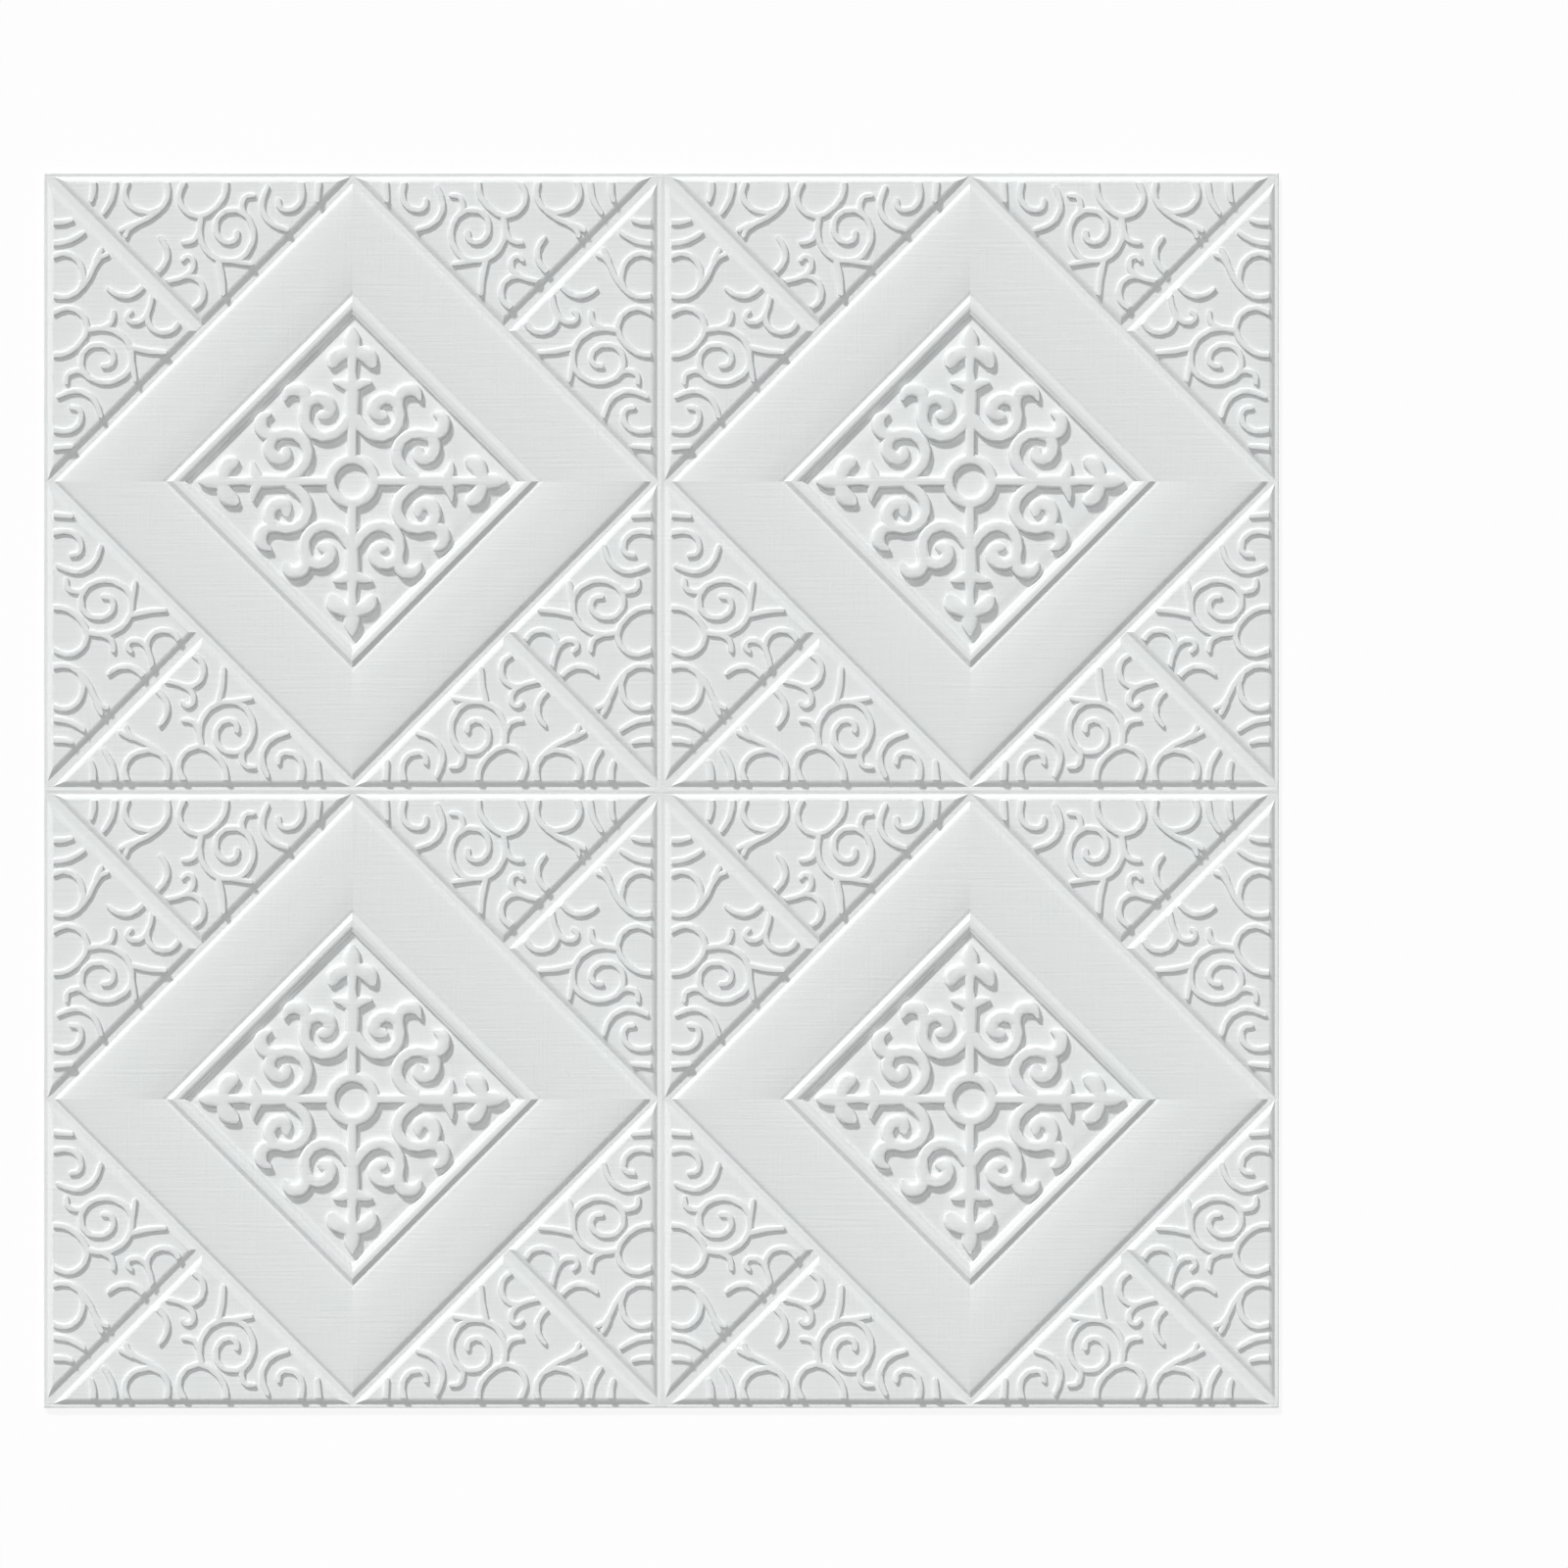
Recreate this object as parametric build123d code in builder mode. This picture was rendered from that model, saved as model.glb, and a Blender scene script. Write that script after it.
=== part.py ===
from build123d import *
import os
from math import cos, radians, sin, sqrt

# Embossed self-adhesive ceiling tile of PVC foam, one moulded sheet lying face up.
# The back lies on z = 0, the origin is the middle of the back, and the face looks to +Z.
# The face holds two by two like modules. In each module a diamond field with a soft crown
# surrounds a sunk panel, which has a raised frame and a raised arabesque of four arms.
# The module's four corners are flat pads, parted from the field, from each other and from
# the next module by pressed grooves. All sizes are millimetres and degrees.

# Sheet
module_side = 350.0
modules_per_side = 2

# Heights above the back
lip_height = 2.4        # groove floors and the pressed edge of the tile
panel_height = 2.6      # sunk floor round the arabesque
pad_height = 4.1        # flat corner pads
valley_height = 3.5     # field where it dips beside the frame
field_edge_height = 3.9  # field where it dips beside the boundary groove
field_crown_height = 4.6
frame_height = 5.0
ornament_height = 5.5   # highest point, so the thickness of the tile

# Pressed grooves: floor width and width of one sloping side
boundary_floor = 2.6    # between the field and a corner pad
boundary_slope = 3.2
boundary_inset = 2.8    # from the line between the middles of the module's edges, inwards
diagonal_floor = 2.2    # between two corner pads
diagonal_slope = 3.2
edge_floor = 1.6        # flat lip along a module's edge, half of the groove between modules
edge_slope = 3.6

# Frame round the sunk panel, measured from the module's centre square to the diamond's side
frame_distance = 70.0
frame_width = 9.4

# Arabesque
ring_radius = 12.2
stroke_width = 5.4      # ring, stem and scrolls
curl_eye = 7.6          # round end of a scroll's curl
arms = 4
flat_turn = 22.5        # turn from one flat to the next along a round stroke

module_half = module_side / 2
corner_distance = module_half * sqrt(2)
boundary_distance = module_half / sqrt(2) - boundary_inset
ring_flats = round(360 / flat_turn)
eye_flats = ring_flats // 2

# The arabesque is drawn on a square grid that runs from the centre to the frame's tip
grid = frame_distance * sqrt(2) / 99.0


def on_grid(x, y):
    """Place a point of the arabesque's drawing, with x along an arm."""
    return (x * grid, y * grid)


def round_points(middle, radius, start, sweep):
    """Give the corners of the flats along an arc from its start angle through its sweep."""
    flats = max(2, round(abs(sweep) / flat_turn))
    angles = [radians(start + sweep * index / flats) for index in range(flats + 1)]
    return [(middle[0] + radius * cos(angle), middle[1] + radius * sin(angle)) for angle in angles]


def round_stroke(middle, radius, start, sweep):
    """Draw a stroke of the arabesque along an arc."""
    outside = round_points(middle, radius + stroke_width / 2, start, sweep)
    inside = round_points(middle, radius - stroke_width / 2, start, sweep)
    Polygon(*outside, *reversed(inside), align=None)


def groove_section(middle, floor, slope):
    """Draw a groove's trapezoid about a middle line, open above the pads."""
    rise = pad_height - lip_height
    above = pad_height + rise
    half_floor = floor / 2
    half_mouth = half_floor + 2 * slope
    Polygon(
        (middle - half_mouth, above),
        (middle - half_floor, lip_height),
        (middle + half_floor, lip_height),
        (middle + half_mouth, above),
        align=None,
    )


# One quarter of a module: the section square to the diamond's side, run along that side
side_plane = Plane(origin=(0, 0, 0), x_dir=(1, 1, 0), z_dir=(1, -1, 0))
frame_inside = frame_distance - frame_width / 2
frame_outside = frame_distance + frame_width / 2
field_outside = boundary_distance - boundary_floor / 2 - boundary_slope
field_middle = (frame_outside + field_outside) / 2
pad_inside = boundary_distance + boundary_floor / 2 + boundary_slope

with BuildPart() as quarter:
    with BuildSketch(side_plane):
        with BuildLine():
            Polyline((0, 0), (0, panel_height), (frame_inside, panel_height))
            ThreePointArc(
                (frame_inside, panel_height),
                (frame_distance, frame_height),
                (frame_outside, valley_height),
            )
            ThreePointArc(
                (frame_outside, valley_height),
                (field_middle, field_crown_height),
                (field_outside, field_edge_height),
            )
            Polyline(
                (field_outside, field_edge_height),
                (boundary_distance - boundary_floor / 2, lip_height),
                (boundary_distance + boundary_floor / 2, lip_height),
                (pad_inside, pad_height),
                (corner_distance, pad_height),
                (corner_distance, 0),
                (0, 0),
            )
        make_face()
    extrude(amount=corner_distance, both=True)
    Box(
        module_half,
        module_half,
        ornament_height,
        align=(Align.MIN, Align.MIN, Align.MIN),
        mode=Mode.INTERSECT,
    )
    # Groove between the two corner pads, from the boundary groove out to the corner
    groove_start = boundary_distance / sqrt(2)
    diagonal_plane = Plane(origin=(groove_start, groove_start, 0), x_dir=(-1, 1, 0), z_dir=(1, 1, 0))
    with BuildSketch(diagonal_plane):
        groove_section(0, diagonal_floor, diagonal_slope)
    extrude(amount=corner_distance, mode=Mode.SUBTRACT)
    # Pressed lips along the module's two outer edges
    for upright in (Plane.XZ, Plane.YZ):
        with BuildSketch(upright):
            groove_section(module_half, 2 * edge_floor, edge_slope)
        extrude(amount=module_side, both=True, mode=Mode.SUBTRACT)

# One arm of the arabesque along +X: a stem with a thorn on each side and a fleur at its tip,
# and on each side a scroll that leaves the stem and parts into a curl and a hook
curl_middle = on_grid(40.7, 18.8)
curl_radius = 5.2 * grid
curl_start = 62
curl_sweep = -255

with BuildSketch() as arm:
    Polygon(
        (ring_radius, 0),
        (ring_radius, stroke_width / 2),
        (29.0 * grid, stroke_width / 2),
        on_grid(34.0, 3.9),
        on_grid(51.5, 3.9),
        on_grid(56.2, 10.0),
        on_grid(59.6, 2.8),
        on_grid(65.6, 2.8),
        on_grid(67.4, 8.6),
        on_grid(67.2, 14.6),
        on_grid(72.4, 13.4),
        on_grid(75.2, 9.8),
        on_grid(75.2, 5.6),
        on_grid(82.0, 4.2),
        on_grid(87.0, 0),
        align=None,
    )
    round_stroke(on_grid(37.7, 15.3), 12.1 * grid, 58, 190)
    round_stroke(curl_middle, curl_radius, curl_start, curl_sweep)
    with Locations(round_points(curl_middle, curl_radius, curl_start, curl_sweep)[-1]):
        RegularPolygon(curl_eye / 2, eye_flats)
    hook_outside = round_points(on_grid(46.7, 30.9), 7.7 * grid, -110, 198)
    hook_inside = round_points(on_grid(43.2, 34.2), 5.65 * grid, -90, 140)
    Polygon(*hook_outside, *reversed(hook_inside), align=None)
    mirror(about=Plane.XZ)

with BuildSketch() as arabesque:
    RegularPolygon(ring_radius + stroke_width / 2, ring_flats)
    RegularPolygon(ring_radius - stroke_width / 2, ring_flats, mode=Mode.SUBTRACT)
    with PolarLocations(0, arms):
        add(arm.sketch)

# One module: four mirrored quarters and the arabesque on the panel's floor
with BuildPart() as module:
    add(quarter.part)
    mirror(about=Plane.YZ)
    mirror(about=Plane.XZ)
    with BuildSketch(Plane.XY.offset(panel_height)):
        add(arabesque.sketch)
    extrude(amount=ornament_height - panel_height)

with BuildPart() as ceiling_tile:
    with GridLocations(module_side, module_side, modules_per_side, modules_per_side):
        add(module.part)

os.makedirs("parts", exist_ok=True)
ceiling_tile.part.label = "ceiling_tile"
export_step(ceiling_tile.part, "parts/ceiling_tile.step")
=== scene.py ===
"""Embossed foam ceiling tile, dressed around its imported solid.

The face of the tile repeats one wedge, an eighth of a module. The wedge's bed is run from one
section, raised strokes are joined to it and grooves are pressed into it, and the finished wedge
is mirrored over the module and over the tile. Drawing sizes are millimetres from the module's
centre, with x along the wedge's straight side.
"""

from __future__ import annotations

import logging
import math
from dataclasses import dataclass
from enum import Enum

import bpy
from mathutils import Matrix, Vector

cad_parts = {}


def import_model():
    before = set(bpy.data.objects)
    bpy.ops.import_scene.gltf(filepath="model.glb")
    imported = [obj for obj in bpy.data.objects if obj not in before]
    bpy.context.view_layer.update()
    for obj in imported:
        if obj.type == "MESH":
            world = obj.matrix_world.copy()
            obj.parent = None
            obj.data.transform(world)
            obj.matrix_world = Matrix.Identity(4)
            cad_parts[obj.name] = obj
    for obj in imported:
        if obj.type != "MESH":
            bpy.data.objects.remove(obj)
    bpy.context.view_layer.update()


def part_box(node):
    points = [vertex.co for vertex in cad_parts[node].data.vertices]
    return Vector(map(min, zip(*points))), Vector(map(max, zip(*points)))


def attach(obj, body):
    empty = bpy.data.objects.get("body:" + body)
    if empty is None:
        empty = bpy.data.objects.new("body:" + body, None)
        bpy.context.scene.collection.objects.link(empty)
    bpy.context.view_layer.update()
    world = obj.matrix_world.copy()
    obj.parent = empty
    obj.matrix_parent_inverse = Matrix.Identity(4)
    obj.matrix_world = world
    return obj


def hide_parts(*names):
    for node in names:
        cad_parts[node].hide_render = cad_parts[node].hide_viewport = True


LOG = logging.getLogger("ceiling_tile")

MM = 0.001
NODE = "ceiling_tile"
BODY = "root"
PIECE = "embossed_foam_tile"

JOIN_MERGE = 0.001 * MM
CARVE_MERGE = 0.002 * MM
CUT_TOLERANCE = 1e-7

# Inputs and output of a colour Mix node, which share their names with other kinds of value
MIX_FACTOR = 0
MIX_FIRST = 6
MIX_SECOND = 7
MIX_RESULT = 2

Point = tuple[float, float]


class Zone(Enum):
    """The three kinds of surface on the tile, numbered as its material slots."""

    FACE = 0
    CUT_EDGE = 1
    BACK = 2


class Run(Enum):
    """How a curve runs through its points, by the kind of their handles."""

    SMOOTH = "AUTO"
    STRAIGHT = "VECTOR"


class Carving(Enum):
    """What a tool does to a solid."""

    ADD = "UNION"
    PRESS = "DIFFERENCE"


def only(piece: bpy.types.Object) -> bpy.types.Object:
    """Select one object alone and make it active.

    Args:
        piece: The object that the next operators act on.

    Returns:
        The same object.
    """
    bpy.ops.object.select_all(action="DESELECT")
    piece.select_set(True)
    bpy.context.view_layer.objects.active = piece
    return piece


def new_piece(name: str) -> bpy.types.Object:
    """Name the object that an add operator has just made, and apply its place.

    Args:
        name: The object's new name.

    Returns:
        The new object, at the origin and with its place in its mesh.
    """
    piece = only(bpy.context.object)
    piece.name = name
    bpy.ops.object.transform_apply(location=True, rotation=True, scale=True)
    return piece


def apply_modifier(piece: bpy.types.Object, kind: str, **settings: object) -> None:
    """Add a modifier with its settings and apply it.

    Args:
        piece: The object that gets the modifier.
        kind: The modifier's type.
        settings: Values for the modifier's properties.
    """
    only(piece)
    bpy.ops.object.modifier_add(type=kind)
    modifier = piece.modifiers[-1]
    for key, value in settings.items():
        setattr(modifier, key, value)
    bpy.ops.object.modifier_apply(modifier=modifier.name)


def remove(*pieces: bpy.types.Object) -> None:
    """Delete tools that the finished tile no longer needs.

    Args:
        pieces: The objects to delete.
    """
    bpy.ops.object.select_all(action="DESELECT")
    for piece in pieces:
        piece.select_set(True)
    bpy.ops.object.delete()


def add_curve(name: str, places: list[Vector], run: Run) -> bpy.types.Object:
    """Draw a curve through points.

    Args:
        name: The new object's name.
        places: The points that the curve passes.
        run: How the curve runs from point to point.

    Returns:
        The curve object.
    """
    bpy.ops.object.select_all(action="DESELECT")
    bpy.ops.curve.primitive_bezier_curve_add()
    piece = new_piece(name)
    points = piece.data.splines[0].bezier_points
    points.add(len(places) - len(points))
    for point, place in zip(points, places):
        point.co = place
        point.handle_left_type = run.value
        point.handle_right_type = run.value
    return piece


def add_prism(name: str, outline: list[Vector], run: Vector) -> bpy.types.Object:
    """Draw a closed outline point by point and extrude it to a solid.

    Args:
        name: The new object's name.
        outline: The corners of the prism's section, in order.
        run: The way and length that the section is extruded.

    Returns:
        The prism as a closed mesh object.
    """
    bpy.ops.object.select_all(action="DESELECT")
    bpy.ops.mesh.primitive_plane_add(size=MM)
    piece = new_piece(name)
    bpy.ops.object.mode_set(mode="EDIT")
    bpy.ops.mesh.merge(type="CENTER")
    bpy.ops.transform.translate(value=outline[0])
    for here, there in zip(outline, outline[1:]):
        bpy.ops.mesh.extrude_vertices_move(TRANSFORM_OT_translate={"value": there - here})
    bpy.ops.mesh.select_all(action="SELECT")
    bpy.ops.mesh.edge_face_add()
    bpy.ops.mesh.extrude_region_move(TRANSFORM_OT_translate={"value": run})
    bpy.ops.mesh.select_all(action="SELECT")
    bpy.ops.mesh.normals_make_consistent(inside=False)
    bpy.ops.object.mode_set(mode="OBJECT")
    return piece


def join(pieces: list[bpy.types.Object]) -> bpy.types.Object:
    """Join closed meshes to one object, with merged seams and outward faces.

    Args:
        pieces: The mesh objects to join.

    Returns:
        The joined object, which is the first of them.
    """
    bpy.ops.object.select_all(action="DESELECT")
    for piece in pieces:
        piece.select_set(True)
    bpy.context.view_layer.objects.active = pieces[0]
    bpy.ops.object.join()
    bpy.ops.object.mode_set(mode="EDIT")
    bpy.ops.mesh.select_all(action="SELECT")
    bpy.ops.mesh.remove_doubles(threshold=JOIN_MERGE)
    bpy.ops.mesh.normals_make_consistent(inside=False)
    bpy.ops.object.mode_set(mode="OBJECT")
    return pieces[0]


def carve(solid: bpy.types.Object, tool: bpy.types.Object, carving: Carving) -> None:
    """Join a solid with a tool or cut the tool out of it, and merge what the cut left doubled.

    Args:
        solid: The solid to change.
        tool: The solid that is joined or cut out.
        carving: What the tool does.
    """
    apply_modifier(
        solid, "BOOLEAN", operation=carving.value, object=tool, solver="EXACT", use_self=True,
    )
    bpy.ops.object.mode_set(mode="EDIT")
    bpy.ops.mesh.select_all(action="SELECT")
    bpy.ops.mesh.dissolve_degenerate(threshold=CARVE_MERGE)
    bpy.ops.mesh.remove_doubles(threshold=CARVE_MERGE)
    bpy.ops.object.mode_set(mode="OBJECT")


@dataclass(frozen=True)
class Stroke:
    """One raised line of the relief, along a smooth curve through its points.

    Widths and rises are shares of its family's width and height, each spread evenly from the
    first point to the last.
    """

    name: str
    path: tuple[Point, ...]
    widths: tuple[float, ...] = (1.0, 1.0)
    rises: tuple[float, ...] = (1.0, 1.0)

    def share(self, shares: tuple[float, ...], index: int) -> float:
        """Read a list of shares at one point of the path.

        Args:
            shares: The stroke's widths or rises.
            index: The point's number along the path.

        Returns:
            The share, read between its two nearest values.
        """
        place = index / (len(self.path) - 1) * (len(shares) - 1)
        low = min(int(place), len(shares) - 2)
        part = place - low
        return shares[low] * (1 - part) + shares[low + 1] * part


# Half section of a stroke from the middle of its top to far below its foot, in half widths
STROKE_SECTION: tuple[Point, ...] = (
    (0.0, 0.0), (0.56, -0.03), (0.82, -0.15), (0.96, -0.42), (1.06, -1.0), (1.25, -4.0),
)


@dataclass(frozen=True)
class StrokeFamily:
    """Strokes that rise from one floor, with steep sides, a soft round top and round ends."""

    name: str
    floor: float
    rise: float
    half_width: float
    strokes: tuple[Stroke, ...]
    steps: int = 4
    nose_reach: float = 0.55
    nose_width: float = 0.4

    def nose(self, end: tuple[Vector, float], before: tuple[Vector, float]) -> tuple[Vector, float]:
        """Give the narrow point that rounds off one end of a stroke.

        Args:
            end: Place and half width of the stroke's last point.
            before: Place and half width of the point before it.

        Returns:
            Place and half width of the nose.
        """
        place, half = end
        ahead = (place - before[0]).normalized() * half * self.nose_reach
        return place + Vector((ahead.x, ahead.y, 0)), half * self.nose_width

    def top_line(self, stroke: Stroke) -> list[tuple[Vector, float]]:
        """Give the points along the top of a stroke, nose to nose.

        Args:
            stroke: The stroke to follow.

        Returns:
            Place and half width of each point.
        """
        line = []
        for index, place in enumerate(stroke.path):
            half = self.half_width * stroke.share(stroke.widths, index)
            top = self.floor + self.rise * stroke.share(stroke.rises, index)
            line.append((Vector((*place, top)), half))
        return [self.nose(line[0], line[1]), *line, self.nose(line[-1], line[-2])]

    def build_stroke(
        self, stroke: Stroke, section: bpy.types.Object, origin: Vector, unit: float
    ) -> bpy.types.Object:
        """Sweep the section along one stroke and turn it to a closed mesh.

        Args:
            stroke: The stroke to model.
            section: The closed curve that is swept.
            origin: The module's centre.
            unit: Metres per millimetre of the drawing.

        Returns:
            The stroke's mesh object.
        """
        line = self.top_line(stroke)
        places = [origin + place * unit for place, _ in line]
        piece = add_curve(f"{self.name}_{stroke.name}", places, Run.SMOOTH)
        curve = piece.data
        for point, (_, half) in zip(curve.splines[0].bezier_points, line):
            point.radius = half
        curve.splines[0].radius_interpolation = "CARDINAL"
        curve.twist_mode = "Z_UP"
        curve.bevel_mode = "OBJECT"
        curve.bevel_object = section
        curve.resolution_u = self.steps
        curve.use_fill_caps = True
        only(piece)
        bpy.ops.object.convert(target="MESH")
        return bpy.context.object

    def build(self, origin: Vector, unit: float) -> list[bpy.types.Object]:
        """Model every stroke of the family.

        Args:
            origin: The module's centre.
            unit: Metres per millimetre of the drawing.

        Returns:
            The strokes' mesh objects.
        """
        right = [Vector((across, up, 0)) * unit for across, up in STROKE_SECTION]
        left = [Vector((-place.x, place.y, 0)) for place in reversed(right[1:])]
        section = add_curve(f"{self.name}_section", right + left, Run.STRAIGHT)
        section.data.splines[0].use_cyclic_u = True
        section.data.resolution_u = 1
        pieces = [self.build_stroke(stroke, section, origin, unit) for stroke in self.strokes]
        remove(section)
        return pieces


PANEL_STROKES: tuple[Stroke, ...] = (
    Stroke("ring", ((12.2, -4.0), (12.4, 0.0), (11.4, 4.8), (8.7, 8.7), (4.8, 11.4), (0.0, 12.4))),
    Stroke("stem", ((12.2, 0), (21.0, 0), (30.0, 0), (38.0, 0), (46.0, 0), (54.0, 0), (61.0, 0), (67.0, 0),
                    (72.0, 0), (78.0, 0), (82.5, 0), (86.0, 0)),
           (0.88, 0.88, 0.95, 1.28, 1.38, 1.38, 0.84, 0.9, 1.2, 1.62, 1.45, 0.7),
           (1.0, 1.0, 1.0, 1.0, 1.0, 1.0, 1.0, 1.0, 1.0, 1.0, 0.97, 0.86)),
    Stroke("thorn", ((53.0, 0.0), (54.8, 4.0), (55.8, 7.4), (56.2, 10.6)), (1.3, 1.05, 0.75, 0.36),
           (1.0, 1.0, 0.94, 0.8)),
    Stroke("fleur_lobe", ((73.2, 0.5), (72.6, 5.0), (70.4, 9.0), (66.8, 11.4)), (1.2, 1.45, 1.7, 1.35),
           (1.0, 1.0, 1.0, 0.85)),
    Stroke("scroll", ((36.0, 1.5), (29.4, 6.6), (25.6, 13.0), (26.0, 19.8), (30.6, 25.2), (37.2, 27.0),
                      (43.8, 26.0), (49.2, 27.2), (51.8, 31.8), (50.4, 36.2), (46.6, 38.4)),
           (1.1, 1.1, 1.12, 1.12, 1.12, 1.12, 1.15, 1.25, 1.35, 1.1, 0.45),
           (1.0, 1.0, 1.0, 1.0, 1.0, 1.0, 1.0, 1.0, 1.0, 0.96, 0.84)),
    Stroke("curl", ((43.8, 26.0), (46.6, 21.4), (46.2, 16.2), (42.4, 12.8), (38.2, 14.0), (37.2, 18.0)),
           (1.1, 1.22, 1.34, 1.4, 1.34, 1.0), (1.0, 1.0, 0.95, 0.88, 0.8, 0.72)),
)

CORNER_STROKES: tuple[Stroke, ...] = (
    Stroke("volute", ((141.4, 65.2), (137.2, 66.0), (135.3, 70.2), (137.6, 75.0), (143.6, 77.3),
                      (150.6, 75.0), (153.6, 68.0), (151.0, 60.6), (146.7, 57.6), (139.3, 56.0),
                      (131.9, 58.2), (126.4, 63.2), (124.8, 69.4), (127.0, 78.2), (133.5, 84.4),
                      (142.0, 86.6), (149.8, 85.6))),
    Stroke("volute_tail", ((149.6, 59.4), (153.6, 62.2), (157.8, 62.3), (161.2, 60.4), (162.0, 55.6)),
           (1.0, 1.0, 0.8)),
    Stroke("volute_thorn", ((105.8, 73.0), (115.0, 73.6), (125.0, 75.8)), (0.8, 1.0, 1.0)),
    Stroke("volute_spur", ((124.9, 67.6), (123.8, 61.8), (122.9, 57.0)), (1.0, 1.0, 0.7)),
    Stroke("volute_sprig", ((141.6, 86.8), (137.2, 89.2), (135.6, 92.3), (135.3, 96.2)), (1.0, 1.0, 0.8)),
    Stroke("lower_loop", ((169.6, 95.2), (164.6, 97.5), (160.3, 98.1), (154.2, 95.4), (150.7, 89.8),
                          (150.6, 84.8), (154.0, 78.6), (159.1, 74.0), (164.0, 71.9), (170.0, 71.4))),
    Stroke("upper_loop", ((170.0, 127.2), (163.4, 129.0), (156.6, 126.2), (152.6, 118.2), (153.6, 110.2),
                          (158.5, 105.6), (163.5, 104.3), (170.0, 105.2))),
    Stroke("wave", ((138.6, 128.4), (142.0, 127.0), (145.4, 123.2), (149.0, 115.8), (153.4, 109.8)),
           (0.8, 1.0, 1.0)),
    Stroke("wave_fork", ((142.0, 131.5), (143.6, 128.6), (145.4, 124.4)), (0.9, 1.0, 1.0)),
    Stroke("bow", ((118.0, 111.0), (122.8, 106.6), (128.5, 104.8), (134.0, 106.1), (138.4, 109.2)),
           (0.9, 1.05, 1.05, 0.7)),
    Stroke("branch", ((112.9, 106.6), (114.4, 99.4), (116.2, 93.2), (114.0, 87.3), (110.0, 84.8),
                      (105.0, 84.5), (101.2, 86.2), (98.2, 90.0)), (0.8, 1.0, 1.0, 1.1, 0.9)),
    Stroke("branch_curl", ((115.6, 95.4), (118.4, 91.8), (122.2, 90.0), (126.2, 90.9), (127.3, 94.0),
                           (125.2, 96.4)), (1.0, 1.0, 0.8)),
    Stroke("long_arc", ((152.0, 141.0), (156.4, 138.1), (161.5, 135.8), (170.0, 134.5)), (0.8, 1.05, 1.05)),
    Stroke("short_arc", ((158.8, 148.0), (163.4, 146.8), (170.0, 146.5)), (0.8, 1.05, 1.05)),
    Stroke("tip_arc", ((142.4, 36.6), (145.6, 45.0), (151.7, 50.2), (158.5, 51.0), (167.0, 47.9)),
           (0.8, 1.0, 1.05, 0.8)),
    Stroke("tip_curl", ((159.6, 41.9), (155.0, 40.8), (153.6, 36.3), (156.0, 31.0), (161.6, 28.4),
                        (170.0, 29.3)), (0.9, 1.0, 1.05)),
    Stroke("tip_bar", ((158.6, 19.8), (164.0, 19.3), (170.0, 18.9)), (0.8, 1.05, 1.05)),
)

# Round-shouldered flank of a groove, from its floor to the pad: shares of its width and its rise
PAD_FLANK: tuple[Point, ...] = ((0.0, 0.0), (0.5, 0.7), (0.8, 0.94), (1.0, 1.0))


@dataclass(frozen=True)
class Groove:
    """Section of one pressed groove: its floor, its flanks and a low bead along its middle."""

    floor_width: float
    floor_height: float
    flank_width: float
    bead: float = 0.0

    def flank(self, pad_height: float) -> list[Point]:
        """Give the flank as level distance from the floor and height above the back."""
        rise = pad_height - self.floor_height
        return [(across * self.flank_width, self.floor_height + up * rise) for across, up in PAD_FLANK]


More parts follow.
